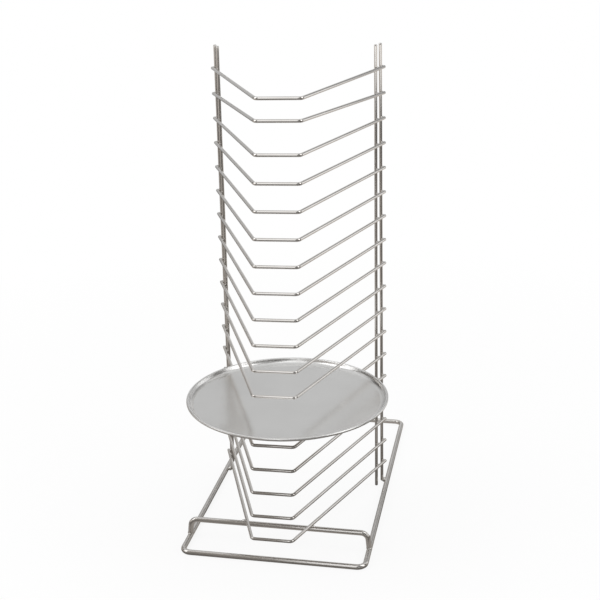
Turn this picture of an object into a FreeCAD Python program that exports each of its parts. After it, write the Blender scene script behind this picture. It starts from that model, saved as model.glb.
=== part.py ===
import FreeCAD, Part
import math
import os
import Sketcher

# A welded wire rack for round trays: a heavy base loop, a riser at its front, two pairs of
# uprights and a stack of bent shelf wires, with one loose tray lying on a shelf.
# Millimetres and degrees. X to the right, Y to the back, Z up.
# The origin is on the floor, under the middle of the base loop.

# Driving sizes: name, value, what it sets.
SIZES = [
    ("shelf_wire", 4.8, "diameter of the shelf wire"),
    ("upright_wire", 4.8, "diameter of the uprights"),
    ("base_wire", 8.0, "diameter of the heavy wire of the base loop and the riser"),
    ("end_chamfer", 0.5, "broken edge at the cut ends of the shelf wires"),
    ("upright_rounding", 1.6, "rounding of the uprights' ends"),
    ("weld_setdown", 0.4, "how far two welded wires sink into each other"),
    ("shelf_count", 18, "number of shelf wires"),
    ("shelf_pitch", 38.1, "height from one shelf to the next"),
    ("front_bar", 60.0, "width of a shelf's front bar between the corners of its bends"),
    ("bend_radius", 6.0, "centre-line radius of a shelf's bends"),
    ("arm_angle", 20.7, "angle between a shelf's arm and the fore-and-aft line, at the floor"),
    ("stack_taper", 0.9, "how much closer the top shelf's arms stand than at the floor, 0 for a true rack"),
    ("shelf_reach", 278.0, "depth of a shelf from its front bar to its arm ends"),
    ("end_overhang", 4.5, "arm end past the outer upright, along the arm"),
    ("upright_gap", 19.5, "inner to outer upright, along the arm"),
    ("upright_rise", 35.5, "top shelf to the tops of the uprights"),
    ("foot_clearance", 2.0, "floor to the lower ends of the uprights"),
    ("short_clearance", 27.0, "floor to the lower end of the inner left upright, which is cut short"),
    ("stack_twist", 6.0, "how far the stack is wrung from floor to top shelf, 0 for a true rack"),
    ("top_shelf_droop", 2.5, "how far the top shelf's front bar is bent down"),
    ("second_shelf_lift", 6.5, "how far the second shelf's front bar is bent up"),
    ("base_length", 510.0, "base loop from front to back, over the wire"),
    ("base_setback", 2.0, "shelf front bars to the front of the base loop"),
    ("corner_radius", 13.0, "centre-line radius of the base loop's corners"),
    ("foot_gap", 2.5, "gap between outer upright and base loop that the foot weld fills"),
    ("riser_setback", 49.0, "front of the base loop to the riser"),
    ("riser_height", 36.0, "floor to the top of the riser's bar"),
    ("riser_radius", 11.0, "centre-line radius of the riser's bends"),
    ("riser_splay", 6.0, "how far the riser's legs lean outwards"),
    ("riser_setdown", 0.2, "how far the riser's feet sink into the base loop"),
    ("weld_bead", 5.0, "half-width of a weld bead beyond the wire that it lies on"),
    ("tray_shelf", 13, "shelf that the tray lies on, counted from the top"),
    ("tray_diameter", 295.0, "tray over its rim"),
    ("tray_height", 8.5, "tray from its underside to the top of its rim"),
    ("tray_bead", 4.2, "diameter of the tray's rolled rim"),
    ("tray_wall_run", 4.0, "width of the tray's sloping wall, seen from above"),
    ("tray_gauge", 1.0, "thickness of the tray's sheet"),
    ("tray_bend", 8.0, "inner radius where the tray's floor turns up"),
    ("tray_inset", 71.0, "front bar to the middle of the tray"),
    ("tray_offset", 7.9, "middle of the rack to the middle of the tray, to the right"),
    ("tray_seat", 0.3, "clearance between tray and shelf wire"),
]

# Sizes that follow from the driving ones.
# Uprights stand inside the arms, one lap away from the arm's centre line.
# The places of the outer uprights and the axis of the stack are those at the floor.
DERIVED = [
    ("lap", "(shelf_wire + upright_wire) / 2 - weld_setdown"),
    ("outer_inset", "end_overhang"),
    ("inner_inset", "end_overhang + upright_gap"),
    ("outer_along", "shelf_reach / cos(arm_angle * 1 deg) - outer_inset"),
    ("outer_x", "front_bar / 2 + outer_along * sin(arm_angle * 1 deg) - lap * cos(arm_angle * 1 deg)"),
    ("outer_depth", "outer_along * cos(arm_angle * 1 deg) + lap * sin(arm_angle * 1 deg)"),
    ("axis_depth", "outer_depth - upright_gap / 2 * cos(arm_angle * 1 deg)"),
    ("base_half_width", "outer_x + (upright_wire + base_wire) / 2 + foot_gap"),
    ("base_half_length", "(base_length - base_wire) / 2"),
    ("base_end_run", "base_half_width - corner_radius"),
    ("base_side_run", "2 * (base_half_length - corner_radius)"),
    ("axis_y", "axis_depth - base_half_length - base_setback"),
    ("riser_y", "riser_setback - base_half_length"),
    ("riser_bar_z", "riser_height - base_wire / 2"),
    ("riser_turn", "90 - riser_splay"),
    ("riser_drop", "riser_bar_z - riser_radius * (1 - cos(riser_turn * 1 deg)) - base_wire + riser_setdown"),
    ("riser_leg_run", "riser_drop / sin(riser_turn * 1 deg)"),
    ("riser_reach", "riser_radius * sin(riser_turn * 1 deg) + riser_leg_run * cos(riser_turn * 1 deg)"),
    ("riser_bar_run", "base_half_width - riser_reach"),
    ("bottom_z", "riser_height + shelf_wire / 2 - weld_setdown"),
    ("top_z", "bottom_z + (shelf_count - 1) * shelf_pitch"),
    ("upright_top", "top_z + upright_rise"),
    ("tray_z", "top_z - (tray_shelf - 1) * shelf_pitch + shelf_wire / 2 + tray_seat"),
    ("rim_radius", "(tray_diameter - tray_bead) / 2"),
    ("rim_z", "tray_height - tray_bead / 2"),
    ("floor_radius", "rim_radius - tray_wall_run"),
]

SIDES = (("right", 1), ("left", -1))
SHORT_UPRIGHT = ("inner", "left")
SAME_LEVEL = 1e-6
NODE_FOLDER = "parts"

doc = FreeCAD.newDocument("pizza_tray_rack")


def make_sheet():
    """The spreadsheet that holds the driving sizes and what follows from them."""
    sheet = doc.addObject("Spreadsheet::Sheet", "Sizes")
    row = 0
    for alias, value, note in SIZES:
        row += 1
        sheet.set(f"A{row}", note)
        sheet.set(f"B{row}", str(value))
        sheet.setAlias(f"B{row}", alias)
    for alias, formula in DERIVED:
        row += 1
        sheet.set(f"A{row}", "follows")
        sheet.set(f"B{row}", f"={formula}")
        sheet.setAlias(f"B{row}", alias)
        doc.recompute()
    return sheet


sheet = make_sheet()
node_objects = []


def value(formula):
    """What a formula on the sheet's sizes comes to, as a plain number."""
    result = sheet.evalExpression(formula)
    return float(getattr(result, "Value", result))


def keep(feature, node):
    """Name a finished sub-part and put it on the list that is written out."""
    feature.Label = node
    node_objects.append(feature)
    return feature


def new_body(node):
    """An empty body for one sub-part."""
    return keep(doc.addObject("PartDesign::Body", node), node)


def origin_plane(body, role):
    """One of the body's own origin planes."""
    return next(plane for plane in body.Origin.OriginFeatures if plane.Role == role)


def new_sketch(body, name, role):
    """An empty sketch on one of the body's origin planes."""
    sketch = body.newObject("Sketcher::SketchObject", name)
    sketch.AttachmentSupport = (origin_plane(body, role), [""])
    sketch.MapMode = "FlatFace"
    return sketch


def drive(sketch, constraint, name, formula):
    """Add a dimension to a sketch and bind it to the sheet."""
    index = sketch.addConstraint(constraint)
    sketch.renameConstraint(index, name)
    sketch.setExpression(f"Constraints.{name}", formula)


def wire_section(body, role, diameter):
    """The round section of a wire, drawn around the body's origin."""
    sketch = new_sketch(body, "Section", role)
    circle = sketch.addGeometry(Part.Circle(FreeCAD.Vector(), FreeCAD.Vector(0, 0, 1), value(diameter) / 2))
    sketch.addConstraint(Sketcher.Constraint("Coincident", circle, 3, -1, 1))
    drive(sketch, Sketcher.Constraint("Diameter", circle, value(diameter)), "wire", diameter)
    return sketch


def bent_path(body, role, heading, steps):
    """The centre line of a bent wire from the body's origin: runs of wire joined by left-hand bends.

    A step is a run's length, or a bend's radius and turn.
    """
    sketch = new_sketch(body, "CentreLine", role)
    point = FreeCAD.Vector()
    normal = FreeCAD.Vector(0, 0, 1)
    last = None
    for number, step in enumerate(steps):
        along = FreeCAD.Vector(math.cos(heading), math.sin(heading), 0)
        if isinstance(step, str):
            end = point + along * value(step)
            edge = sketch.addGeometry(Part.LineSegment(point, end))
            drive(sketch, Sketcher.Constraint("Distance", edge, value(step)), f"run_{number}", step)
        else:
            radius, turn = step
            centre = point + normal.cross(along) * value(radius)
            begin = heading - math.pi / 2
            heading += math.radians(value(turn))
            arc = Part.ArcOfCircle(Part.Circle(centre, normal, value(radius)), begin, heading - math.pi / 2)
            end = arc.EndPoint
            edge = sketch.addGeometry(arc)
            drive(sketch, Sketcher.Constraint("Radius", edge, value(radius)), f"radius_{number}", radius)
            drive(sketch, Sketcher.Constraint("Angle", edge, math.radians(value(turn))),
                  f"turn_{number}", f"({turn}) * 1 deg")
        if last is None:
            sketch.addConstraint(Sketcher.Constraint("Coincident", edge, 1, -1, 1))
            sketch.addConstraint(Sketcher.Constraint("Horizontal", edge))
        else:
            sketch.addConstraint(Sketcher.Constraint("Tangent", last, 2, edge, 1))
        last = edge
        point = end
    return sketch


def flat_end_edges(shape):
    """Names of the edges around a shape's flat end faces."""
    ends = [face for face in shape.Faces if isinstance(face.Surface, Part.Plane)]
    rims = [edge for face in ends for edge in face.Edges]
    return [f"Edge{index}" for index, edge in enumerate(shape.Edges, 1)
            if any(edge.isSame(rim) for rim in rims)]


def break_ends(body, feature, size, formula):
    """Break the edges of a wire's cut ends with a chamfer or a fillet."""
    doc.recompute()
    tip = body.Tip
    broken = body.newObject(feature, "BrokenEdges")
    broken.Base = (tip, flat_end_edges(tip.Shape))
    broken.setExpression(size, formula)
    body.Tip = broken


def symmetric_wire(node, role, heading, steps, diameter):
    """A bent wire that is the same on both sides: half of it is swept, then mirrored left to right."""
    body = new_body(node)
    path = bent_path(body, role, heading, steps)
    section = wire_section(body, "YZ_Plane", diameter)
    half = body.newObject("PartDesign::AdditivePipe", "Half")
    half.Profile = section
    half.Spine = (path, [f"Edge{number}" for number in range(1, len(steps) + 1)])
    doc.recompute()
    whole = body.newObject("PartDesign::Mirrored", "Whole")
    whole.Originals = [half]
    whole.MirrorPlane = (origin_plane(body, "YZ_Plane"), [""])
    body.Tip = whole
    return body


def make_base_loop():
    """The heavy wire loop that lies on the floor."""
    corner = ("Sizes.corner_radius", "90")
    steps = ["Sizes.base_end_run", corner, "Sizes.base_side_run", corner, "Sizes.base_end_run"]
    body = symmetric_wire("base_loop", "XY_Plane", 0.0, steps, "Sizes.base_wire")
    body.setExpression("Placement.Base.y", "-Sizes.base_half_length")
    body.setExpression("Placement.Base.z", "Sizes.base_wire / 2")


def make_riser():
    """The upside-down U that stands on the loop's sides and carries the lowest shelf."""
    steps = ["Sizes.riser_bar_run", ("Sizes.riser_radius", "Sizes.riser_turn"), "Sizes.riser_leg_run"]
    body = symmetric_wire("front_riser", "XZ_Plane", math.pi, steps, "Sizes.base_wire")
    body.setExpression("Placement.Base.y", "Sizes.riser_y")
    body.setExpression("Placement.Base.z", "Sizes.riser_bar_z")


def shelf_droop(number):
    """How far a shelf's front bar hangs below its level: the top two are bent a little in use."""
    droops = {1: "Sizes.top_shelf_droop", 2: "-Sizes.second_shelf_lift"}
    return droops.get(number, "0")


def shelf_level(number):
    """Height of a shelf, counted from the top."""
    return f"(Sizes.top_z - ({number} - 1) * Sizes.shelf_pitch)"


def stack_turn(level):
    """How far the stack is wrung at a height."""
    return f"(Sizes.stack_twist * {level} / Sizes.top_z * 1 deg)"


def arm_angle(level):
    """The arms' angle at a height in degrees, because the stack is a little narrower at its top."""
    return f"(Sizes.arm_angle - Sizes.stack_taper * {level} / Sizes.top_z)"


def make_shelf(number):
    """One shelf wire, turned with the stack about the middle of its uprights."""
    level = shelf_level(number)
    angle = arm_angle(level)
    tangent = f"Sizes.bend_radius * tan((90 - {angle}) * 0.5 deg)"
    front_run = f"Sizes.front_bar / 2 - {tangent}"
    arm_run = f"Sizes.shelf_reach / cos({angle} * 1 deg) - {tangent}"
    steps = [front_run, ("Sizes.bend_radius", f"90 - {angle}"), arm_run]
    body = symmetric_wire(f"shelf_{number:02d}", "XY_Plane", 0.0, steps, "Sizes.shelf_wire")
    break_ends(body, "PartDesign::Chamfer", "Size", "Sizes.end_chamfer")
    yaw = stack_turn(level)
    droop = shelf_droop(number)
    front = (f"vector(Sizes.axis_depth * sin({yaw}); Sizes.axis_y - Sizes.axis_depth * cos({yaw}); "
             f"{level} - {droop})")
    turn = f"rotation({yaw}; 0 deg; asin({droop} / Sizes.axis_depth))"
    body.setExpression("Placement", f"placement({front}; {turn})")


def make_upright(row, side, sign):
    """One upright, a straight rod that leans as the stack is wrung and tapers."""
    body = new_body(f"upright_{row}_{side}")
    section = wire_section(body, "XY_Plane", "Sizes.upright_wire")
    rod = body.newObject("PartDesign::Pad", "Rod")
    rod.Profile = section
    clearance = "Sizes.short_clearance" if (row, side) == SHORT_UPRIGHT else "Sizes.foot_clearance"

    def place(level):
        yaw = stack_turn(level)
        slope = f"sin({arm_angle(level)} * 1 deg)"
        ahead = f"cos({arm_angle(level)} * 1 deg)"
        along = f"(Sizes.shelf_reach / {ahead} - Sizes.{row}_inset)"
        across = f"({sign} * (Sizes.front_bar / 2 + {along} * {slope} - Sizes.lap * {ahead}))"
        back = f"({along} * {ahead} + Sizes.lap * {slope} - Sizes.axis_depth)"
        return (f"({across} * cos({yaw}) - {back} * sin({yaw}))",
                f"({across} * sin({yaw}) + {back} * cos({yaw}))")

    foot_x, foot_y = place(clearance)
    top_x, top_y = place("Sizes.upright_top")
    lean_x = f"({top_x} - {foot_x})"
    lean_y = f"({top_y} - {foot_y})"
    rise = f"(Sizes.upright_top - {clearance})"
    side_length = f"sqrt({lean_x} ^ 2 + {rise} ^ 2)"
    rod.setExpression("Length", f"sqrt({lean_x} ^ 2 + {lean_y} ^ 2 + {rise} ^ 2)")
    break_ends(body, "PartDesign::Fillet", "Radius", "Sizes.upright_rounding")
    foot = f"vector({foot_x}; Sizes.axis_y + {foot_y}; {clearance})"
    lean = f"rotation(0 deg; atan2({lean_x}; {rise}); -atan2({lean_y}; {side_length}))"
    body.setExpression("Placement", f"placement({foot}; {lean})")


def make_weld_pair(node, place_x, place_y, place_z, half_sizes):
    """Two like weld beads, one on each side of the rack."""
    beads = []
    for side, sign in SIDES:
        bead = doc.addObject("Part::Ellipsoid", f"{node}_{side}")
        for size, formula in zip(("Radius2", "Radius3", "Radius1"), half_sizes):
            bead.setExpression(size, formula)
        bead.setExpression("Placement.Base.x", f"{sign} * ({place_x})")
        bead.setExpression("Placement.Base.y", place_y)
        bead.setExpression("Placement.Base.z", place_z)
        beads.append(bead)
    pair = doc.addObject("Part::Compound", node)
    pair.Links = beads
    keep(pair, node)


def make_welds():
    """The beads that join uprights and riser to the base loop, and the lowest shelf to the riser."""
    heavy = "Sizes.base_wire / 2"
    make_weld_pair(
        "upright_foot_welds",
        "Sizes.outer_x + (Sizes.upright_wire + Sizes.foot_gap) / 2",
        "Sizes.axis_y + Sizes.outer_depth - Sizes.axis_depth",
        "Sizes.base_wire / 2",
        ("(Sizes.foot_gap + Sizes.upright_wire) / 2", "Sizes.weld_bead",
         f"{heavy} - Sizes.weld_setdown / 2"),
    )
    make_weld_pair(
        "riser_foot_welds",
        "Sizes.base_half_width",
        "Sizes.riser_y",
        "Sizes.base_wire",
        (f"{heavy} + Sizes.weld_setdown", "Sizes.weld_bead", f"{heavy} / 2"),
    )
    riser_along = "(Sizes.riser_setback + Sizes.base_setback)"
    lowest_angle = arm_angle("Sizes.bottom_z")
    make_weld_pair(
        "riser_bar_welds",
        f"Sizes.front_bar / 2 + {riser_along} * tan({lowest_angle} * 1 deg) + Sizes.shelf_wire / 2",
        "Sizes.riser_y",
        "Sizes.riser_height",
        ("Sizes.weld_bead", "Sizes.weld_bead / 2", "Sizes.shelf_wire / 2"),
    )


def make_tray_section(body):
    """Half the tray's sheet, seen from the front: floor, sloping wall, and its end inside the rim."""
    sketch = new_sketch(body, "Sheet", "XZ_Plane")
    floor_radius = value("Sizes.floor_radius")
    rim_radius = value("Sizes.rim_radius")
    rim_z = value("Sizes.rim_z")
    gauge = value("Sizes.tray_gauge")
    corners = [(0, 0), (floor_radius, 0), (rim_radius, rim_z), (rim_radius - gauge, rim_z),
               (floor_radius - gauge, gauge), (0, gauge)]
    points = [FreeCAD.Vector(across, up, 0) for across, up in corners]
    lines = [sketch.addGeometry(Part.LineSegment(begin, end))
             for begin, end in zip(points, points[1:] + points[:1])]
    for line, after in zip(lines, lines[1:] + lines[:1]):
        sketch.addConstraint(Sketcher.Constraint("Coincident", line, 2, after, 1))
    under, wall, lip, inner_wall, floor, axis = lines
    sketch.addConstraint(Sketcher.Constraint("Coincident", under, 1, -1, 1))
    for level in (under, lip, floor):
        sketch.addConstraint(Sketcher.Constraint("Horizontal", level))
    sketch.addConstraint(Sketcher.Constraint("Vertical", axis))
    sketch.addConstraint(Sketcher.Constraint("Parallel", wall, inner_wall))
    drive(sketch, Sketcher.Constraint("DistanceX", under, 1, under, 2, floor_radius),
          "floor", "Sizes.floor_radius")
    drive(sketch, Sketcher.Constraint("DistanceX", under, 1, wall, 2, rim_radius),
          "rim", "Sizes.rim_radius")
    drive(sketch, Sketcher.Constraint("DistanceY", under, 1, wall, 2, rim_z), "rise", "Sizes.rim_z")
    drive(sketch, Sketcher.Constraint("Distance", axis, gauge), "gauge", "Sizes.tray_gauge")
    drive(sketch, Sketcher.Constraint("Distance", floor, 1, wall, gauge), "wall_gauge", "Sizes.tray_gauge")
    return sketch


def make_rim_section(body):
    """The round section of the tray's rolled rim."""
    sketch = new_sketch(body, "RolledRim", "XZ_Plane")
    centre = FreeCAD.Vector(value("Sizes.rim_radius"), value("Sizes.rim_z"), 0)
    bead = value("Sizes.tray_bead")
    circle = sketch.addGeometry(Part.Circle(centre, FreeCAD.Vector(0, 0, 1), bead / 2))
    drive(sketch, Sketcher.Constraint("DistanceX", -1, 1, circle, 3, centre.x), "rim", "Sizes.rim_radius")
    drive(sketch, Sketcher.Constraint("DistanceY", -1, 1, circle, 3, centre.y), "rise", "Sizes.rim_z")
    drive(sketch, Sketcher.Constraint("Diameter", circle, bead), "bead", "Sizes.tray_bead")
    return sketch


def revolve(body, sketch, name):
    """Turn a section once round the body's upright axis."""
    turned = body.newObject("PartDesign::Revolution", name)
    turned.Profile = sketch
    turned.ReferenceAxis = (sketch, ["V_Axis"])
    turned.Angle = 360
    doc.recompute()
    return turned


def fillet_circle(body, level, radius):
    """Round the widest circular edge at one level of the body, so that a sheet turns up in a curve."""
    tip = body.Tip
    circles = [(edge.Curve.Radius, index) for index, edge in enumerate(tip.Shape.Edges, 1)
               if isinstance(edge.Curve, Part.Circle) and abs(edge.Curve.Center.z - level) < SAME_LEVEL]
    fillet = body.newObject("PartDesign::Fillet", "TurnUp")
    fillet.Base = (tip, [f"Edge{max(circles)[1]}"])
    fillet.setExpression("Radius", radius)
    body.Tip = fillet
    doc.recompute()


def make_tray():
    """The loose round tray: one dished sheet with a rolled rim."""
    body = new_body("tray")
    revolve(body, make_tray_section(body), "Pan")
    fillet_circle(body, 0.0, "Sizes.tray_bend + Sizes.tray_gauge")
    fillet_circle(body, value("Sizes.tray_gauge"), "Sizes.tray_bend")
    revolve(body, make_rim_section(body), "Rim")
    yaw = stack_turn(shelf_level("Sizes.tray_shelf"))
    behind = "(Sizes.tray_inset - Sizes.axis_depth)"
    across = f"Sizes.tray_offset * cos({yaw}) - {behind} * sin({yaw})"
    along = f"Sizes.axis_y + Sizes.tray_offset * sin({yaw}) + {behind} * cos({yaw})"
    body.setExpression("Placement.Base.x", across)
    body.setExpression("Placement.Base.y", along)
    body.setExpression("Placement.Base.z", "Sizes.tray_z")


make_base_loop()
make_riser()
for side, sign in SIDES:
    make_upright("inner", side, sign)
    make_upright("outer", side, sign)
for number in range(1, int(value("Sizes.shelf_count")) + 1):
    make_shelf(number)
make_welds()
make_tray()
doc.recompute()

for feature in doc.Objects:
    if "Invalid" in feature.State or "Error" in feature.State:
        raise RuntimeError(f"{feature.Label} failed: {feature.State}")
for feature in node_objects:
    if feature.Shape.isNull() or not feature.Shape.isValid():
        raise RuntimeError(f"{feature.Label} has no valid shape")

os.makedirs(NODE_FOLDER, exist_ok=True)
for feature in node_objects:
    feature.Shape.exportStep(f"{NODE_FOLDER}/{feature.Label}.step")
    box = feature.Shape.BoundBox
    print(f"{feature.Label}: {len(feature.Shape.Solids)} solid, {feature.Shape.Volume:.1f} mm3, "
          f"x {box.XMin:.1f} to {box.XMax:.1f}, y {box.YMin:.1f} to {box.YMax:.1f}, "
          f"z {box.ZMin:.1f} to {box.ZMax:.1f}")
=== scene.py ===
import math

import bpy
from mathutils import Matrix, Vector


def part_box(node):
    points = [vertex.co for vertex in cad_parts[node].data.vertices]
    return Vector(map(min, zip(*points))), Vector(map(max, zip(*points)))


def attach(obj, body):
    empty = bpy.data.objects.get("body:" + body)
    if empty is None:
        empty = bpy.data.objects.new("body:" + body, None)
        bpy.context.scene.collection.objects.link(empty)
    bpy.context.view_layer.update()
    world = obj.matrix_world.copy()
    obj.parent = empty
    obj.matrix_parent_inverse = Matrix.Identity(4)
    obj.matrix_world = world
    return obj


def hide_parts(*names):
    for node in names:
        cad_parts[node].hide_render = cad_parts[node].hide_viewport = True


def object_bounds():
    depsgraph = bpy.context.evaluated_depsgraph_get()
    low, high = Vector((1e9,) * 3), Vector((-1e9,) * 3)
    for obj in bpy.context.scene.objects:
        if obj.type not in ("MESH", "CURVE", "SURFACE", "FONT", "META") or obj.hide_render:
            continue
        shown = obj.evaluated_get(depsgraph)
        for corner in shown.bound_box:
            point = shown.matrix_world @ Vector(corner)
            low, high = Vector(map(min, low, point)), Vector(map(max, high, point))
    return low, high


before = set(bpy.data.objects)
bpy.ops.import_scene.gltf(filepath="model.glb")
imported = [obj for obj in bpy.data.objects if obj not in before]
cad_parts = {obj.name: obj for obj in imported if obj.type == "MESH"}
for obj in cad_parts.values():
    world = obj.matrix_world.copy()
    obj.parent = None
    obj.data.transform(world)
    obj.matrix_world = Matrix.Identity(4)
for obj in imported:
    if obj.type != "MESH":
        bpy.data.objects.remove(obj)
cad_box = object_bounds()

bl_info = {
    "name": "Pizza Tray Rack",
    "version": (1, 0, 0),
    "blender": (4, 5, 0),
    "location": "View3D > Sidebar > Tray Rack",
    "description": "Models a welded wire rack for round trays, with one tray lying on it",
    "category": "Object",
}

SHELF_NODES = sorted(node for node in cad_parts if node.startswith("shelf_"))
SIDES = {"right": 1, "left": -1}
ROWS = ("inner", "outer")
UP = Vector((0, 0, 1))
RIGHT = Vector((1, 0, 0))
BACK = Vector((0, 1, 0))


def node_middle(node):
    """The middle of a node's box."""
    low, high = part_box(node)
    return (low + high) / 2


def node_height(node):
    """How tall a node's box is."""
    low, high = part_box(node)
    return high.z - low.z


def length(name, default, description):
    """A size in metres that a user can change."""
    return bpy.props.FloatProperty(name=name, description=description, default=default,
                                   unit="LENGTH", subtype="DISTANCE", precision=4)


def angle(name, degrees, description):
    """An angle that a user can change."""
    return bpy.props.FloatProperty(name=name, description=description, default=math.radians(degrees),
                                   subtype="ANGLE")


def amount(name, default, description):
    """A plain share or strength that a user can change."""
    return bpy.props.FloatProperty(name=name, description=description, default=default, min=0.0)


def colour(name, default, description):
    """A colour that a user can change."""
    return bpy.props.FloatVectorProperty(name=name, description=description, default=default,
                                         subtype="COLOR", size=3, min=0.0, max=1.0)


class RackSizes(bpy.types.PropertyGroup):
    """Sizes of the wires and how they are bent"""

    shelf_wire: length("Shelf Wire", node_height(SHELF_NODES[-1]), "Diameter of the shelf wire")
    upright_wire: length("Upright Wire", 0.0048, "Diameter of the uprights")
    base_wire: length("Base Wire", node_height("base_loop"), "Diameter of the base loop and the riser")
    end_break: length("Broken Edge", 0.0006, "Broken edge at the cut ends of a wire")
    upright_rounding: length("Upright Rounding", 0.0016, "Rounding of the uprights' ends")
    weld_setdown: length("Weld Set-Down", 0.0004, "How far two welded wires sink into each other")
    shelf_pitch: length("Shelf Pitch", 0.0381, "Height from one shelf to the next")
    bottom_level: length("Lowest Shelf", node_middle(SHELF_NODES[-1]).z, "Height of the lowest shelf wire")
    front_bar: length("Front Bar", 0.060, "Width of a shelf's front bar between the corners of its bends")
    bend_radius: length("Bend Radius", 0.006, "Centre-line radius of a shelf's bends")
    arm_angle: angle("Arm Angle", 20.7,
                     "Angle between a shelf's arm and the fore-and-aft line, at the floor")
    stack_taper: angle("Stack Taper", 0.9, "How much closer the top shelf's arms stand than at the floor")
    shelf_reach: length("Shelf Reach", 0.278, "Depth of a shelf from its front bar to its arm ends")
    end_overhang: length("End Overhang", 0.0045, "Arm end past the outer upright, along the arm")
    upright_gap: length("Upright Gap", 0.0195, "Inner to outer upright, along the arm")
    stack_twist: angle("Stack Twist", 6.0, "How far the stack is wrung from floor to top shelf")
    top_droop: length("Top Shelf Droop", 0.0025, "How far the top shelf's front bar is bent down")
    second_lift: length("Second Shelf Lift", 0.0065, "How far the second shelf's front bar is bent up")
    base_setback: length("Base Setback", 0.002, "Shelf front bars to the front of the base loop")
    corner_radius: length("Corner Radius", 0.013, "Centre-line radius of the base loop's corners")
    riser_radius: length("Riser Radius", 0.011, "Centre-line radius of the riser's bends")
    riser_splay: angle("Riser Splay", 6.0, "How far the riser's legs lean outwards")
    weld_swell: length("Weld Swell", 0.0005, "How uneven the weld beads are")


class TraySizes(bpy.types.PropertyGroup):
    """Sizes of the round tray"""

    gauge: length("Gauge", 0.001, "Thickness of the tray's sheet")
    bead: length("Rolled Rim", 0.0042, "Outer diameter of the rolled rim")
    wall_run: length("Wall Run", 0.004, "Width of the sloping wall, seen from above")
    turn_up: length("Turn-Up Radius", 0.008, "Inner radius where the floor turns up")
    curl: angle("Curl", 262.0, "How far the edge of the sheet is rolled round")


class RackFinish(bpy.types.PropertyGroup):
    """Colours and polish of the metals"""

    wire_colour: colour("Wire", (0.74, 0.718, 0.695), "Plated wire")
    wire_shade: colour("Wire Shade", (0.685, 0.662, 0.634), "Duller patches of the plating")
    wire_roughness: amount("Wire Roughness", 0.09, "Roughness of the plated shelf wire and uprights")
    heavy_roughness: amount("Heavy Wire Roughness", 0.17, "Roughness of the base loop and the riser")
    weld_colour: colour("Weld", (0.72, 0.703, 0.68), "Plating over a weld")
    weld_roughness: amount("Weld Roughness", 0.15, "Roughness of a weld bead")
    tray_colour: colour("Tray", (0.85, 0.848, 0.84), "Satin sheet of the tray")
    tray_shade: colour("Tray Shade", (0.81, 0.808, 0.80), "Duller patches of the tray")
    tray_roughness: amount("Tray Roughness", 0.21, "Roughness of the tray's floor")
    rim_roughness: amount("Rim Roughness", 0.34, "Roughness of the tray's rolled rim")


class StageSettings(bpy.types.PropertyGroup):
    """Camera, floor and light"""

    view_azimuth: angle("View Azimuth", 11.40, "Camera to the right of the front")
    view_elevation: angle("View Elevation", 18.97, "Camera above the horizon")
    view_roll: angle("View Roll", -1.18, "Camera turned about its own line of sight")
    view_distance: length("View Distance", 1.8, "Camera to the point that it looks at")
    view_target: bpy.props.FloatVectorProperty(name="View Target", subtype="TRANSLATION",
                                               description="Point that the camera looks at",
                                               default=(0.0017, -0.0089, 0.3267))
    focal_length: bpy.props.FloatProperty(name="Focal Length", description="Lens of the camera",
                                          default=68.3, subtype="DISTANCE_CAMERA")
    floor_colour: colour("Floor", (0.86, 0.86, 0.86), "Pale floor")
    floor_glow: amount("Floor Whiteness", 0.88,
                       "Share of the near floor that shows as plain white background")
    floor_near: length("Near Floor", 0.4, "Distance within which the floor takes the whole shadow")
    floor_far: length("Far Floor", 1.4, "Distance beyond which the floor is plain white background")
    room_level: amount("Room Level", 0.85, "Brightness of the room on matt surfaces")


class Layout:
    """Places that follow from the rack's sizes, in the shelf's own frame and in the rack's."""

    def __init__(self, sizes):
        self.sizes = sizes
        self.insets = {"outer": sizes.end_overhang, "inner": sizes.end_overhang + sizes.upright_gap}
        self.lap = (sizes.shelf_wire + sizes.upright_wire) / 2 - sizes.weld_setdown
        self.top_level = sizes.bottom_level + (len(SHELF_NODES) - 1) * sizes.shelf_pitch
        self.base_low, self.base_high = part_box("base_loop")
        self.axis_depth = sum(self.upright_place(row, 1, 0.0).y for row in ROWS) / 2
        self.axis_y = self.base_low.y + sizes.base_wire / 2 - sizes.base_setback + self.axis_depth

    def arm_angle(self, level):
        """The arms' angle at a height: the stack is a little narrower at its top."""
        return self.sizes.arm_angle - self.sizes.stack_taper * level / self.top_level

    def arm_point(self, row, inwards, sign, level):
        """A point beside an arm where an upright passes it, in the shelf's own frame."""
        slope = math.sin(self.arm_angle(level))
        ahead = math.cos(self.arm_angle(level))
        along = self.sizes.shelf_reach / ahead - self.insets[row]
        across = self.sizes.front_bar / 2 + along * slope - inwards * ahead
        return Vector((sign * across, along * ahead + inwards * slope, 0))

    def upright_place(self, row, sign, level):
        """Where an upright's centre line passes a height, in the shelf's own frame."""
        return self.arm_point(row, self.lap, sign, level)

    def level(self, number):
        """Height of a shelf, counted from the top."""
        return self.top_level - (number - 1) * self.sizes.shelf_pitch

    def wring(self, level):
        """How the stack is turned at a height, about the middle of its uprights."""
        turn = Matrix.Rotation(self.sizes.stack_twist * level / self.top_level, 4, "Z")
        to_axis = Matrix.Translation((0, -self.axis_depth, 0))
        return Matrix.Translation((0, self.axis_y, level)) @ turn @ to_axis

    def shelf_place(self, number):
        """Placement of a shelf wire: the top two are bent a little down and up in use."""
        droop = {1: self.sizes.top_droop, 2: -self.sizes.second_lift}.get(number, 0.0)
        tip = Matrix.Rotation(math.asin(droop / self.axis_depth), 4, "X")
        return self.wring(self.level(number)) @ Matrix.Translation((0, 0, -droop)) @ tip


WIRE_SIDES = 32
BEND_STEPS = 12
CORNER_STEPS = 14
END_STEPS = 3
ROUND_STEPS = 6
SMOOTH_ANGLE = math.radians(40)
MERGE_WIDTH = 0.00002
RUN_LEAD = 0.003


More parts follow.
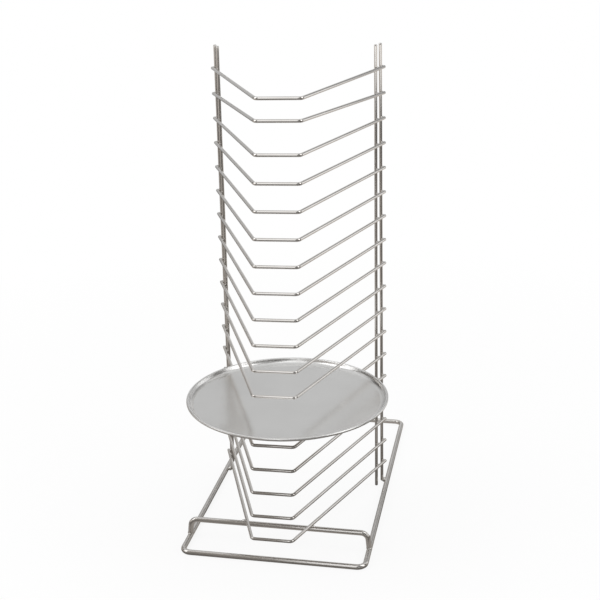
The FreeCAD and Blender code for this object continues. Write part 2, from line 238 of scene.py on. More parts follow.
def start_wire(name, diameter, place, axis):
    """Begin a wire as an open ring of edges square to an axis, left selected in edit mode."""
    turn = axis.to_track_quat("Z", "Y").to_euler()
    bpy.ops.object.select_all(action="DESELECT")
    bpy.ops.mesh.primitive_circle_add(vertices=WIRE_SIDES, radius=diameter / 2, location=place,
                                      rotation=turn)
    wire = bpy.context.active_object
    wire.name = name
    wire.data.name = name
    bpy.ops.object.transform_apply()
    bpy.ops.object.mode_set(mode="EDIT")
    bpy.ops.mesh.select_mode(type="EDGE")
    bpy.ops.mesh.select_all(action="SELECT")
    return wire


def draw_run(run):
    """Pull what is selected along a straight run."""
    bpy.ops.mesh.extrude_region_move(TRANSFORM_OT_translate={"value": run})


def draw_wire(run):
    """A straight run of wire, with a ring near each end that keeps its shading straight."""
    lead = run.normalized() * RUN_LEAD
    for part in (lead, run - 2 * lead, lead):
        draw_run(part)


def bend_round(centre, axis, turn, steps=BEND_STEPS):
    """Carry what is selected round a bend. The spin tool turns clockwise, so its axis is reversed."""
    bpy.ops.mesh.spin(steps=steps, angle=turn, center=centre, axis=-axis)


def cut_end(edge_break, steps):
    """Close the selected ring with the flat face of a cut and break its edge."""
    bpy.ops.mesh.edge_face_add()
    bpy.ops.mesh.bevel(offset=edge_break, segments=steps, affect="EDGES")


def apply_modifier(piece, kind, **settings):
    """Add a modifier with its settings and apply it."""
    modifier = piece.modifiers.new(kind.title(), kind)
    for setting, value in settings.items():
        setattr(modifier, setting, value)
    bpy.ops.object.modifier_apply(modifier=modifier.name)


def close_mesh():
    """Merge what lies together in the active piece, turn its faces outwards and shade it smooth."""
    bpy.ops.object.mode_set(mode="EDIT")
    bpy.ops.mesh.select_all(action="SELECT")
    bpy.ops.mesh.remove_doubles(threshold=MERGE_WIDTH)
    bpy.ops.mesh.normals_make_consistent(inside=False)
    bpy.ops.object.mode_set(mode="OBJECT")
    bpy.ops.object.shade_smooth_by_angle(angle=SMOOTH_ANGLE)


def mirror_half(piece):
    """Complete a piece that is the same on both sides."""
    bpy.ops.object.mode_set(mode="OBJECT")
    apply_modifier(piece, "MIRROR", use_clip=True, merge_threshold=MERGE_WIDTH)
    close_mesh()


def put_in_place(piece, placement):
    """Move a modelled piece to its place, and put that place into its mesh."""
    bpy.ops.object.select_all(action="DESELECT")
    piece.select_set(True)
    bpy.context.view_layer.objects.active = piece
    piece.matrix_world = placement
    bpy.ops.object.transform_apply()


def dress(piece, material, slot, body, *nodes):
    """Give a piece its finish and its body, and hide the nodes that it stands for."""
    piece.data.materials.clear()
    piece.data.materials.append(material)
    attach(piece, body)
    if nodes:
        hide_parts(*nodes)


# Places of the colour sockets among all those of a mix node
MIX_FIRST = 6
MIX_SECOND = 7
MIX_RESULT = 2


class Shader:
    """The node tree of a material or a world, with short calls for the nodes used here."""

    def __init__(self, name, owners="materials", output="ShaderNodeOutputMaterial"):
        blocks = getattr(bpy.data, owners)
        self.owner = blocks.get(name) or blocks.new(name)
        self.owner.use_nodes = True
        self.tree = self.owner.node_tree
        self.tree.nodes.clear()
        self.output = self.node(output)

    def node(self, kind, values=None, **settings):
        """A new node, with the values of its inputs and its settings."""
        made = self.tree.nodes.new(kind)
        for setting, value in settings.items():
            setattr(made, setting, value)
        for socket, value in (values or {}).items():
            made.inputs[socket].default_value = value
        return made

    def link(self, source, target):
        """Join an output to an input."""
        self.tree.links.new(source, target)

    def coordinates(self, stretch=(1, 1, 1), centre=(0, 0, 0), turn=0.0):
        """Object coordinates, moved to a centre, stretched and then turned."""
        place = self.node("ShaderNodeTexCoord")
        centred = self.node("ShaderNodeVectorMath", {1: centre}, operation="SUBTRACT")
        mapped = self.node("ShaderNodeMapping", {"Scale": stretch, "Rotation": (0, 0, turn)})
        self.link(place.outputs["Object"], centred.inputs[0])
        self.link(centred.outputs["Vector"], mapped.inputs["Vector"])
        return mapped.outputs["Vector"]

    def noise(self, coordinates, scale, detail=2.0):
        """A cloudy value from 0 to 1."""
        made = self.node("ShaderNodeTexNoise", {"Scale": scale, "Detail": detail})
        self.link(coordinates, made.inputs["Vector"])
        return made.outputs["Fac"]

    def distance(self, place):
        """How far a place is from the centre, seen from above."""
        flat = self.node("ShaderNodeVectorMath", {1: (1, 1, 0)}, operation="MULTIPLY")
        made = self.node("ShaderNodeVectorMath", operation="LENGTH")
        self.link(place, flat.inputs[0])
        self.link(flat.outputs["Vector"], made.inputs[0])
        return made.outputs["Value"]

    def range(self, value, low, high, band=(0.0, 1.0)):
        """A value brought from one band into another, from low to high."""
        limits = {"From Min": band[0], "From Max": band[1], "To Min": low, "To Max": high}
        made = self.node("ShaderNodeMapRange", limits)
        self.link(value, made.inputs["Value"])
        return made.outputs["Result"]

    def blend(self, share, first, second):
        """Two colours mixed by a value."""
        colours = {MIX_FIRST: (*first, 1), MIX_SECOND: (*second, 1)}
        made = self.node("ShaderNodeMix", colours, data_type="RGBA")
        self.link(share, made.inputs["Factor"])
        return made.outputs[MIX_RESULT]

    def math(self, operation, first, second):
        """Two values put together, such as their sum."""
        made = self.node("ShaderNodeMath", operation=operation)
        self.link(first, made.inputs[0])
        self.link(second, made.inputs[1])
        return made.outputs["Value"]

    def bump(self, height, depth, strength, under=None):
        """A bumped normal from a height value, laid over another one where it is given."""
        made = self.node("ShaderNodeBump", {"Distance": depth, "Strength": strength})
        self.link(height, made.inputs["Height"])
        if under is not None:
            self.link(under, made.inputs["Normal"])
        return made.outputs["Normal"]

    def metal(self, base, roughness, normal):
        """A bare metal surface from its colour, roughness and normal."""
        surface = self.node("ShaderNodeBsdfPrincipled", {"Metallic": 1.0})
        self.link(base, surface.inputs["Base Color"])
        self.link(roughness, surface.inputs["Roughness"])
        self.link(normal, surface.inputs["Normal"])
        self.link(surface.outputs["BSDF"], self.output.inputs["Surface"])
        return self.owner


# Patterns: features to the metre
PLATING_PATCHES = 30.0
PLATING_SCUFFS = 420.0
PLATING_PEEL = 60.0
WELD_PATCHES = 240.0
WELD_RIPPLES = 700.0
TRAY_PATCHES = 14.0
TRAY_WAVES = 9.0
TRAY_GRAIN = (1500, 60, 60)
# How far the grain's noise is turned once it is stretched
GRAIN_TURN = math.radians(8)
# The middle part of a noise, which is spread over the whole range
PATCH_BAND = (0.35, 0.65)
NOISE_BAND = (0.3, 0.7)
# Least and most roughness within a pattern, as shares of the finish's own
SCUFF_SPREAD = (0.85, 1.25)
WELD_SPREAD = (0.7, 1.3)
# What the grain adds to the tray's roughness or takes from it
GRAIN_SPREAD = 0.03


def plating(name, finish, roughness):
    """Bright plating on drawn wire: cloudy patches, faint orange peel and tiny scuffs."""
    shader = Shader(name)
    place = shader.coordinates()
    cloud = shader.noise(place, PLATING_PATCHES)
    scuffs = shader.noise(place, PLATING_SCUFFS, detail=3.0)
    peel = shader.noise(place, PLATING_PEEL)
    base = shader.blend(shader.range(cloud, 0.0, 1.0, PATCH_BAND), finish.wire_colour, finish.wire_shade)
    least, most = SCUFF_SPREAD
    rough = shader.range(scuffs, roughness * least, roughness * most, NOISE_BAND)
    return shader.metal(base, rough, shader.bump(peel, depth=0.00001, strength=0.02))


def plated_wire(finish):
    """Plating on the shelf wire and the uprights."""
    return plating("plated_wire", finish, finish.wire_roughness)


def heavy_wire(finish):
    """The same plating on the heavy wire, which is drawn less smooth."""
    return plating("heavy_wire", finish, finish.heavy_roughness)


def weld_metal(finish):
    """Plating over a weld: a little duller, with the ripples of the bead."""
    shader = Shader("weld_metal")
    place = shader.coordinates()
    cloud = shader.noise(place, WELD_PATCHES, detail=3.0)
    ripple = shader.noise(place, WELD_RIPPLES, detail=3.0)
    base = shader.blend(cloud, finish.weld_colour, finish.wire_shade)
    least, most = WELD_SPREAD
    rough = shader.range(cloud, finish.weld_roughness * least, finish.weld_roughness * most)
    return shader.metal(base, rough, shader.bump(ripple, depth=0.0002, strength=0.25))


def tray_sheet(finish, centre, floor_radius, rim_radius):
    """Satin rolled sheet: fine grain one way, soft waves, and a softer shine where the rim is worked."""
    shader = Shader("tray_sheet")
    place = shader.coordinates(centre=centre)
    grain_place = shader.coordinates(stretch=TRAY_GRAIN, centre=centre, turn=GRAIN_TURN)
    grain = shader.noise(grain_place, 1.0, detail=3.0)
    cloud = shader.noise(place, TRAY_PATCHES, detail=3.0)
    waves = shader.noise(place, TRAY_WAVES, detail=1.0)
    base = shader.blend(shader.range(cloud, 0.0, 1.0, NOISE_BAND), finish.tray_colour, finish.tray_shade)
    polish = shader.range(shader.distance(place), finish.tray_roughness, finish.rim_roughness,
                          (floor_radius, rim_radius))
    rough = shader.math("ADD", polish, shader.range(grain, -GRAIN_SPREAD, GRAIN_SPREAD, NOISE_BAND))
    fine = shader.bump(grain, depth=0.00001, strength=0.1)
    return shader.metal(base, rough, shader.bump(waves, depth=0.001, strength=0.1, under=fine))


class RACK_OT_shelf_wires(bpy.types.Operator):
    """Bend the shelf wires, each to the width of its level"""

    bl_idname = "rack.shelf_wires"
    bl_label = "Shelf Wires"

    def execute(self, context):
        sizes = context.scene.rack_sizes
        layout = Layout(sizes)
        metal = plated_wire(context.scene.rack_finish)
        for number, node in enumerate(SHELF_NODES, 1):
            arm_angle = layout.arm_angle(layout.level(number))
            wire = self.bend_wire(f"shelf_wire_{number:02d}", sizes, arm_angle)
            put_in_place(wire, layout.shelf_place(number))
            dress(wire, metal, "plated_wire", "rack", node)
        return {"FINISHED"}

    def bend_wire(self, name, sizes, arm_angle):
        """One shelf wire in its own frame: half a front bar, a bend and an arm, then mirrored."""
        turn = math.pi / 2 - arm_angle
        tangent = sizes.bend_radius * math.tan(turn / 2)
        front_run = sizes.front_bar / 2 - tangent
        arm = Vector((math.sin(arm_angle), math.cos(arm_angle), 0))
        wire = start_wire(name, sizes.shelf_wire, Vector(), RIGHT)
        draw_wire(RIGHT * front_run)
        bend_round(RIGHT * front_run + BACK * sizes.bend_radius, UP, turn)
        draw_wire(arm * (sizes.shelf_reach / arm.y - tangent))
        cut_end(sizes.end_break, END_STEPS)
        mirror_half(wire)
        return wire


class RACK_OT_uprights(bpy.types.Operator):
    """Cut the four uprights and stand them inside the shelf arms"""

    bl_idname = "rack.uprights"
    bl_label = "Uprights"

    def execute(self, context):
        sizes = context.scene.rack_sizes
        layout = Layout(sizes)
        metal = plated_wire(context.scene.rack_finish)
        for row in ROWS:
            for side, sign in SIDES.items():
                node = f"upright_{row}_{side}"
                low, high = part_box(node)
                foot = layout.wring(low.z) @ layout.upright_place(row, sign, low.z)
                top = layout.wring(high.z) @ layout.upright_place(row, sign, high.z)
                rod = self.cut_rod(f"{row}_upright_{side}", foot, top, sizes)
                dress(rod, metal, "plated_wire", "rack", node)
        return {"FINISHED"}

    def cut_rod(self, name, foot, top, sizes):
        """A straight rod with both ends cut and rounded."""
        middle = (foot + top) / 2
        rod = start_wire(name, sizes.upright_wire, middle, top - foot)
        draw_wire(top - middle)
        cut_end(sizes.upright_rounding, ROUND_STEPS)
        self.select_open_ring()
        draw_wire(foot - middle)
        cut_end(sizes.upright_rounding, ROUND_STEPS)
        close_mesh()
        return rod

    def select_open_ring(self):
        """Select the ring where the rod is still open."""
        bpy.ops.mesh.select_all(action="DESELECT")
        bpy.ops.mesh.select_non_manifold(use_wire=False, use_multi_face=False, use_non_contiguous=False,
                                         use_verts=False)


class RACK_OT_base_loop(bpy.types.Operator):
    """Bend the heavy loop that lies on the floor"""

    bl_idname = "rack.base_loop"
    bl_label = "Base Loop"

    def execute(self, context):
        sizes = context.scene.rack_sizes
        layout = Layout(sizes)
        half = sizes.base_wire / 2
        low, high = layout.base_low, layout.base_high
        front = Vector((0, low.y + half, half))
        end_run = high.x - half - sizes.corner_radius
        side_run = high.y - low.y - sizes.base_wire - 2 * sizes.corner_radius
        loop = start_wire("base_loop_wire", sizes.base_wire, front, RIGHT)
        draw_wire(RIGHT * end_run)
        front_corner = front + RIGHT * end_run + BACK * sizes.corner_radius
        bend_round(front_corner, UP, math.pi / 2, CORNER_STEPS)
        draw_wire(BACK * side_run)
        bend_round(front_corner + BACK * side_run, UP, math.pi / 2, CORNER_STEPS)
        draw_wire(-RIGHT * end_run)
        mirror_half(loop)
        dress(loop, heavy_wire(context.scene.rack_finish), "plated_wire", "rack", "base_loop")
        return {"FINISHED"}


class RACK_OT_front_riser(bpy.types.Operator):
    """Bend the upside-down U that carries the lowest shelf"""

    bl_idname = "rack.front_riser"
    bl_label = "Front Riser"

    def execute(self, context):
        sizes = context.scene.rack_sizes
        layout = Layout(sizes)
        half = sizes.base_wire / 2
        turn = math.pi / 2 - sizes.riser_splay
        bar_z = sizes.bottom_level - sizes.shelf_wire / 2 + sizes.weld_setdown - half
        leg = Vector((math.cos(turn), 0, -math.sin(turn)))
        drop = bar_z - sizes.riser_radius * (1 - math.cos(turn)) - sizes.base_wire + sizes.weld_setdown / 2
        leg_run = drop / math.sin(turn)
        foot_x = layout.base_high.x - half
        bar_run = foot_x - sizes.riser_radius * math.sin(turn) - leg_run * leg.x
        start = Vector((0, node_middle("front_riser").y, bar_z))
        riser = start_wire("front_riser_wire", sizes.base_wire, start, RIGHT)
        draw_wire(RIGHT * bar_run)
        bend_round(start + RIGHT * bar_run - UP * sizes.riser_radius, BACK, turn)
        draw_wire(leg * leg_run)
        cut_end(sizes.end_break, END_STEPS)
        mirror_half(riser)
        dress(riser, heavy_wire(context.scene.rack_finish), "plated_wire", "rack", "front_riser")
        return {"FINISHED"}


BEAD_CUTS = 4
NUGGET_CUTS = 5
SWELL_SCALE = 0.0035
# How many times as uneven as a nugget a bead is
BEAD_SWELL = 2
# A nugget's size, as shares of the shelf wire's diameter
NUGGET_WIDTH = 1.2
NUGGET_THICKNESS = 0.45


def swell(piece, strength):
    """Make a bead uneven, as molten metal sets."""
    clouds = bpy.data.textures.get("bead_swell") or bpy.data.textures.new("bead_swell", "CLOUDS")
    clouds.noise_scale = SWELL_SCALE
    apply_modifier(piece, "DISPLACE", texture=clouds, texture_coords="LOCAL", strength=strength,
                   mid_level=0.5)


def join_pieces(pieces, name):
    """Join pieces into one."""
    bpy.ops.object.select_all(action="DESELECT")
    for piece in pieces:
        piece.select_set(True)
    bpy.context.view_layer.objects.active = pieces[0]
    bpy.ops.object.join()
    pieces[0].name = name
    pieces[0].data.name = name
    return pieces[0]


class RACK_OT_weld_beads(bpy.types.Operator):
    """Lay the beads at the feet of the uprights and the riser, and where the lowest shelf rests"""

    bl_idname = "rack.weld_beads"
    bl_label = "Weld Beads"

    def execute(self, context):
        metal = weld_metal(context.scene.rack_finish)
        for node in ("upright_foot_welds", "riser_foot_welds", "riser_bar_welds"):
            beads = [self.lay_bead(node, sign, context.scene.rack_sizes) for sign in SIDES.values()]
            dress(join_pieces(beads, f"{node}_beads"), metal, "weld_metal", "rack", node)
        return {"FINISHED"}

    def lay_bead(self, node, sign, sizes):
        """One bead over the half of the node that lies on one side."""
        corners = [vertex.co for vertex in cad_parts[node].data.vertices if vertex.co.x * sign > 0]
        low = Vector(map(min, zip(*corners)))
        high = Vector(map(max, zip(*corners)))
        bpy.ops.object.select_all(action="DESELECT")
        bpy.ops.mesh.primitive_ico_sphere_add(subdivisions=BEAD_CUTS, radius=1.0,
                                              location=(low + high) / 2, scale=(high - low) / 2)
        bead = bpy.context.active_object
        bpy.ops.object.transform_apply()
        swell(bead, sizes.weld_swell * BEAD_SWELL)
        close_mesh()
        return bead


class RACK_OT_cross_welds(bpy.types.Operator):
    """Set a small nugget of weld at every crossing of arm and upright"""

    bl_idname = "rack.cross_welds"
    bl_label = "Cross-Wire Welds"

    def execute(self, context):
        sizes = context.scene.rack_sizes
        layout = Layout(sizes)
        metal = weld_metal(context.scene.rack_finish)
        for number in range(1, len(SHELF_NODES) + 1):
            level = layout.level(number)
            nuggets = [self.set_nugget(layout, row, sign, level)
                       for row in ROWS for sign in SIDES.values()]
            welds = join_pieces(nuggets, f"cross_welds_{number:02d}")
            put_in_place(welds, layout.shelf_place(number))
            swell(welds, sizes.weld_swell)
            close_mesh()
            dress(welds, metal, "weld_metal", "rack")
        return {"FINISHED"}

    def set_nugget(self, layout, row, sign, level):
        """A flat pad of metal squeezed out between the two wires."""
        sizes = layout.sizes
        inwards = (sizes.shelf_wire - sizes.weld_setdown) / 2
        place = layout.arm_point(row, inwards, sign, level)
        width = sizes.shelf_wire * NUGGET_WIDTH
        thickness = sizes.shelf_wire * NUGGET_THICKNESS
        turn = -sign * layout.arm_angle(level)
        bpy.ops.object.select_all(action="DESELECT")
        bpy.ops.mesh.primitive_cube_add(size=1.0, location=place, rotation=(0, 0, turn),
                                        scale=(thickness, width, width))
        nugget = bpy.context.active_object
        bpy.ops.object.transform_apply()
        bpy.ops.object.mode_set(mode="EDIT")
        bpy.ops.mesh.select_all(action="SELECT")
        bpy.ops.mesh.subdivide(number_cuts=NUGGET_CUTS)
        bpy.ops.object.mode_set(mode="OBJECT")
        apply_modifier(nugget, "SUBSURF", levels=1, render_levels=1)
        return nugget


TRAY_STEPS = 144
FLOOR_RINGS = 6
TURN_UP_STEPS = 6
CURL_STEPS = 14


class RACK_OT_tray(bpy.types.Operator):
    """Spin the round tray with its rolled rim"""

    bl_idname = "rack.tray"
    bl_label = "Tray"

    def execute(self, context):
        sizes = context.scene.tray_sizes
        low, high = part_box("tray")
        centre = Vector(((low.x + high.x) / 2, (low.y + high.y) / 2, low.z))
        rim_radius = (high.x - low.x - sizes.bead) / 2
        rim_height = high.z - low.z - sizes.bead / 2
        floor_radius = rim_radius - sizes.wall_run
        tray = self.draw_profile(centre, rim_radius, rim_height, sizes)
        bpy.ops.mesh.select_all(action="SELECT")
        bpy.ops.mesh.spin(steps=TRAY_STEPS, angle=math.tau, center=centre, axis=UP)
        close_mesh()
        apply_modifier(tray, "SOLIDIFY", thickness=sizes.gauge, offset=0.0, use_even_offset=True)
        bpy.ops.object.shade_smooth_by_angle(angle=SMOOTH_ANGLE)
        metal = tray_sheet(context.scene.rack_finish, centre, floor_radius, rim_radius)
        dress(tray, metal, "tray_sheet", "tray", "tray")
        return {"FINISHED"}

    def draw_profile(self, centre, rim_radius, rim_height, sizes):
        """Half the middle line of the sheet: floor, turn-up, wall and rolled edge."""
        middle = sizes.gauge / 2
        corner = Vector((rim_radius - sizes.wall_run - middle, 0, middle))
        roll = Vector((rim_radius, 0, rim_height))
        roll_radius = sizes.bead / 2 - middle
        reach = (roll - corner).length
        wall_angle = math.atan2(roll.z - corner.z, roll.x - corner.x) + math.asin(roll_radius / reach)
        wall = Vector((math.cos(wall_angle), 0, math.sin(wall_angle)))
        turn_radius = sizes.turn_up + middle
        tangent = turn_radius * math.tan(wall_angle / 2)
        bpy.ops.object.select_all(action="DESELECT")
        bpy.ops.mesh.primitive_plane_add(size=sizes.gauge, location=centre + UP * middle)
        tray = bpy.context.active_object
        tray.name = "round_tray"
        tray.data.name = "round_tray"
        bpy.ops.object.transform_apply()
        bpy.ops.object.mode_set(mode="EDIT")
        bpy.ops.mesh.select_mode(type="VERT")
        bpy.ops.mesh.select_all(action="SELECT")
        bpy.ops.mesh.merge(type="CENTER")
        bpy.ops.mesh.select_all(action="SELECT")
        for _ in range(FLOOR_RINGS):
            draw_run(RIGHT * (corner.x - tangent) / FLOOR_RINGS)
        bend_centre = centre + corner - RIGHT * tangent + UP * turn_radius
        bend_round(bend_centre, -BACK, wall_angle, TURN_UP_STEPS)
        draw_run(wall * (math.sqrt(reach ** 2 - roll_radius ** 2) - tangent))
        bend_round(centre + roll, BACK, sizes.curl, CURL_STEPS)
        return tray


FLOOR_WIDTH = 60.0
ROOM_REACH = 2.6
ROOM_WIDTH = 2 * ROOM_REACH
ROOM_HEIGHT = 2.6
STRIP_REACH = 2.5
STRIP_WIDTH = 2 * STRIP_REACH
CARD_LIFT = 0.0005
FLAG_DROP = 0.02
FLAG_HEIGHT = ROOM_HEIGHT - FLAG_DROP
SOFTBOX_REACH = 1.6
SOFTBOX_MIDDLE = 1.45
SOFTBOX_HEIGHT = 1.9
SOFTBOX_LEVEL = 1.7
WHITE = (1.0, 1.0, 1.0)
WARM = (1.0, 0.94, 0.88)
# The ramp of a card that is the same shade all over
EVEN = (0.0, 1.0)
LYING = (0, 0, 0)
STANDING = (math.pi / 2, 0, 0)

# Lamps: name, degrees from the back towards the right, and width
SOFTBOXES = (
    ("left_softbox", -120, 1.05),
    ("right_softbox", 106, 0.85),
)
# Upright cards: name, degrees from the back towards the right, distance, width, lower and upper edge,
# two shades, the heights between which the first goes over into the second, and tint
WALLS = (
    # Behind the rack
    ("back_wall", 0, ROOM_REACH, ROOM_WIDTH, (0.0, ROOM_HEIGHT), (0.5, 0.6), (0.8, 1.6), WHITE),
    ("back_card", -3.5, 2.5, 1.02, (0.0, 1.3), (0.76, 0.55), (0.8, 1.3), WHITE),
    ("back_flag", 20, 2.6, 1.4, (0.95, 2.4), (0.33, 0.33), EVEN, WHITE),
    # Beside the rack: dark above, with a bright strip low down and a card high on the left
    ("right_wall", 90, ROOM_REACH, ROOM_WIDTH, (0.0, ROOM_HEIGHT), (0.15, 0.07), (0.3, 0.6), WARM),
    ("right_strip", 90, STRIP_REACH, STRIP_WIDTH, (0.28, 0.62), (0.15, 0.8), (0.3, 0.44), WARM),
    ("left_wall", -90, ROOM_REACH, ROOM_WIDTH, (0.0, ROOM_HEIGHT), (0.58, 0.07), (0.3, 0.6), WARM),
    ("left_strip", -90, STRIP_REACH, STRIP_WIDTH, (0.28, 0.62), (0.54, 0.8), (0.3, 0.44), WARM),
    ("left_card", -75, 2.5, 1.2, (1.3, 2.6), (0.71, 0.71), EVEN, WHITE),
    # Behind the camera: dark, with a bright strip low down and a tall bright card
    ("front_wall", 180, ROOM_REACH, ROOM_WIDTH, (0.0, ROOM_HEIGHT), (0.18, 0.07), (0.3, 0.5), WARM),
    ("front_strip", 180, STRIP_REACH, STRIP_WIDTH, (0.2, 0.62), (0.18, 1.25), (0.26, 0.42), WHITE),
    ("front_card", 183, 2.4, 0.6, (0.42, 2.6), (1.05, 1.05), EVEN, WHITE),
    # Between the back and the right
    ("side_card", 54, 2.2, 1.0, (0.28, 1.6), (1.1, 1.1), EVEN, WHITE),
)
# Other cards: name, place, turn, width and depth, two shades, the distances from the card's middle
# between which the first goes over into the second, and tint
CARDS = (
    # Close in front of the rack, on the left
    ("front_flag", (-0.3, -0.6, 0.18), STANDING, (0.5, 0.36), (0.27, 0.27), EVEN, WARM),
    ("top_flag", (-0.36, -0.62, 0.6), LYING, (0.52, 0.56), (0.36, 0.36), EVEN, WARM),
    # On the floor
    ("floor_card", (0, 0, CARD_LIFT), LYING, (9.0, 9.0), (0.18, 0.62), (0.0, 0.5), WARM),
    ("front_floor_card", (0, -0.185, 2 * CARD_LIFT), LYING, (0.6, 0.11), (0.34, 0.34), EVEN, WARM),
    ("left_floor_card", (-1.5, -0.8, 2 * CARD_LIFT), LYING, (2.2, 1.7), (0.45, 0.45), EVEN, WARM),
    ("back_floor_flag", (-1.4, 1.7, 2 * CARD_LIFT), LYING, (1.8, 1.8), (0.18, 0.18), EVEN, WARM),
    # Overhead
    ("right_ceiling_flag", (1.5, -1.4, FLAG_HEIGHT), LYING, (2.0, 2.4), (0.35, 0.35), EVEN, WHITE),
    ("left_ceiling_flag", (-1.5, -1.6, FLAG_HEIGHT), LYING, (1.8, 2.0), (0.3, 0.3), EVEN, WHITE),
    ("ceiling_card", (0, 0, ROOM_HEIGHT), LYING, (ROOM_WIDTH, ROOM_WIDTH), (1.25, 0.7), (-0.7, 0.1),
     WHITE),
)


def around(turn, reach, height):
    """A place round the rack: degrees from the back towards the right, distance and height."""
    return Vector((math.sin(math.radians(turn)) * reach, math.cos(math.radians(turn)) * reach, height))


def seen_rays(shader):
    """1 for rays that see the background: from the camera, in a reflection or through glass."""
    path = shader.node("ShaderNodeLightPath")
    seen = path.outputs["Is Camera Ray"]
    for ray in ("Is Glossy Ray", "Is Transmission Ray"):
        seen = shader.math("MAXIMUM", seen, path.outputs[ray])
    return seen


def stage_plane(name, width, height, place, rotation):
    """A flat sheet of the stage."""
    bpy.ops.object.select_all(action="DESELECT")
    bpy.ops.mesh.primitive_plane_add(size=1.0, location=place, rotation=rotation)
    plane = bpy.context.active_object
    plane.name = name
    plane.scale = (width, height, 1)
    bpy.ops.object.transform_apply(location=False, rotation=False, scale=True)
    return plane


def stage_floor(settings):
    """A pale floor that fades into the white background and keeps the object's shadow."""
    floor = stage_plane("studio_floor", FLOOR_WIDTH, FLOOR_WIDTH, (0, 0, 0), LYING)
    shader = Shader("studio_floor")
    matt = shader.node("ShaderNodeBsdfDiffuse", {"Color": (*settings.floor_colour, 1)})
    white = shader.node("ShaderNodeEmission", {"Color": (*WHITE, 1), "Strength": 1.0})
    both = shader.node("ShaderNodeMixShader")
    glow = shader.range(shader.distance(shader.coordinates()), settings.floor_glow, 1.0,
                        (settings.floor_near, settings.floor_far))
    shader.link(shader.math("MULTIPLY", seen_rays(shader), glow), both.inputs[0])
    shader.link(matt.outputs["BSDF"], both.inputs[1])
    shader.link(white.outputs["Emission"], both.inputs[2])
    shader.link(both.outputs["Shader"], shader.output.inputs["Surface"])
    floor.data.materials.append(shader.owner)


def stage_room(settings):
    """A white room that lights matt surfaces a little less than it shows."""
    shader = Shader("studio_room", "worlds", "ShaderNodeOutputWorld")
    bpy.context.scene.world = shader.owner
    light = shader.node("ShaderNodeBackground", {"Color": (*WHITE, 1)})
    shader.link(shader.range(seen_rays(shader), settings.room_level, 1.0), light.inputs["Strength"])
    shader.link(light.outputs["Background"], shader.output.inputs["Surface"])


def stage_softbox(name, turn, width):
    """A tall softbox of one brightness that faces the middle of the rack."""
    lamp = bpy.data.lights.new(name, "AREA")
    lamp.shape = "RECTANGLE"
    lamp.size = width
    lamp.size_y = SOFTBOX_HEIGHT
    lamp.energy = SOFTBOX_LEVEL * math.pi * width * SOFTBOX_HEIGHT
    softbox = bpy.data.objects.new(name, lamp)
    place = around(turn, SOFTBOX_REACH, SOFTBOX_MIDDLE)
    middle = (cad_box[0] + cad_box[1]) / 2
    softbox.location = place
    softbox.rotation_euler = (middle - place).to_track_quat("-Z", "Y").to_euler()
    softbox.visible_camera = False
    bpy.context.scene.collection.objects.link(softbox)


def stage_card(name, place, rotation, size, shades, ramp, tint):
    """A card that only reflections see, shaded between two distances along its height."""
    card = stage_plane(name, *size, place, rotation)
    card.visible_camera = False
    card.visible_diffuse = False
    card.visible_shadow = False
    shader = Shader(name)
    split = shader.node("ShaderNodeSeparateXYZ")
    glow = shader.node("ShaderNodeEmission", {"Color": (*tint, 1)})
    shader.link(shader.coordinates(), split.inputs["Vector"])
    shader.link(shader.range(split.outputs["Y"], *shades, ramp), glow.inputs["Strength"])
    shader.link(glow.outputs["Emission"], shader.output.inputs["Surface"])
    card.data.materials.append(shader.owner)


def stage_wall(name, turn, reach, width, edges, shades, ramp, tint):
    """An upright card round the rack, shaded between two heights."""
    low, high = edges
    middle = (low + high) / 2
    rotation = (math.pi / 2, 0, -math.radians(turn))
    stage_card(name, around(turn, reach, middle), rotation, (width, high - low), shades,
               [height - middle for height in ramp], tint)


def stage_camera(settings):
    """The camera at the viewing angle."""
    data = bpy.data.cameras.new("view_camera")
    data.lens = settings.focal_length
    camera = bpy.data.objects.new("view_camera", data)
    turn = (Matrix.Rotation(settings.view_azimuth, 4, "Z")
            @ Matrix.Rotation(math.pi / 2 - settings.view_elevation, 4, "X")
            @ Matrix.Rotation(settings.view_roll, 4, "Z"))
    look = turn @ -UP
    target = Vector(settings.view_target)
    camera.matrix_world = Matrix.Translation(target - look * settings.view_distance) @ turn
    bpy.context.scene.collection.objects.link(camera)
    bpy.context.scene.camera = camera


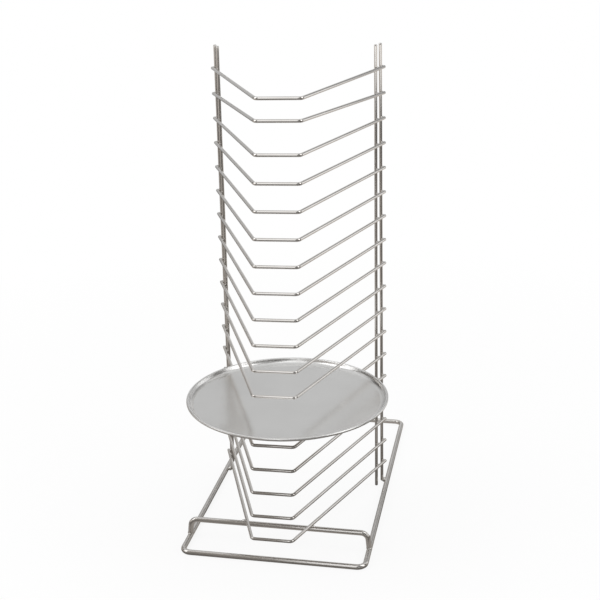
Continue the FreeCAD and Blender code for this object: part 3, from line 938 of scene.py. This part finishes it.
class RACK_OT_stage(bpy.types.Operator):
    """Set up the floor, the light and the camera"""

    bl_idname = "rack.stage"
    bl_label = "Stage"

    def execute(self, context):
        settings = context.scene.stage_settings
        context.scene.view_settings.view_transform = "Standard"
        stage_floor(settings)
        stage_room(settings)
        for softbox in SOFTBOXES:
            stage_softbox(*softbox)
        for wall in WALLS:
            stage_wall(*wall)
        for card in CARDS:
            stage_card(*card)
        stage_camera(settings)
        return {"FINISHED"}


class RACK_PT_panel(bpy.types.Panel):
    """Lists the steps that build the rack"""

    bl_idname = "RACK_PT_panel"
    bl_label = "Pizza Tray Rack"
    bl_space_type = "VIEW_3D"
    bl_region_type = "UI"
    bl_category = "Tray Rack"

    def draw(self, context):
        for operator in STEPS:
            self.layout.operator(operator.bl_idname)
        for group in GROUPS:
            box = self.layout.box()
            box.label(text=group.__doc__)
            settings = getattr(context.scene, GROUPS[group])
            for name in group.__annotations__:
                box.prop(settings, name)


GROUPS = {
    RackSizes: "rack_sizes",
    TraySizes: "tray_sizes",
    RackFinish: "rack_finish",
    StageSettings: "stage_settings",
}
STEPS = (
    RACK_OT_shelf_wires,
    RACK_OT_uprights,
    RACK_OT_base_loop,
    RACK_OT_front_riser,
    RACK_OT_weld_beads,
    RACK_OT_cross_welds,
    RACK_OT_tray,
    RACK_OT_stage,
)


def register():
    """Add the settings, the steps and the panel."""
    for group, name in GROUPS.items():
        bpy.utils.register_class(group)
        setattr(bpy.types.Scene, name, bpy.props.PointerProperty(type=group))
    for step in STEPS:
        bpy.utils.register_class(step)
    bpy.utils.register_class(RACK_PT_panel)


def unregister():
    """Take the panel, the steps and the settings out again."""
    bpy.utils.unregister_class(RACK_PT_panel)
    for step in reversed(STEPS):
        bpy.utils.unregister_class(step)
    for group, name in GROUPS.items():
        delattr(bpy.types.Scene, name)
        bpy.utils.unregister_class(group)


def main():
    """Build the rack step by step."""
    register()
    bpy.ops.rack.shelf_wires()
    bpy.ops.rack.uprights()
    bpy.ops.rack.base_loop()
    bpy.ops.rack.front_riser()
    bpy.ops.rack.weld_beads()
    bpy.ops.rack.cross_welds()
    bpy.ops.rack.tray()
    bpy.ops.rack.stage()


if __name__ == "__main__":
    main()
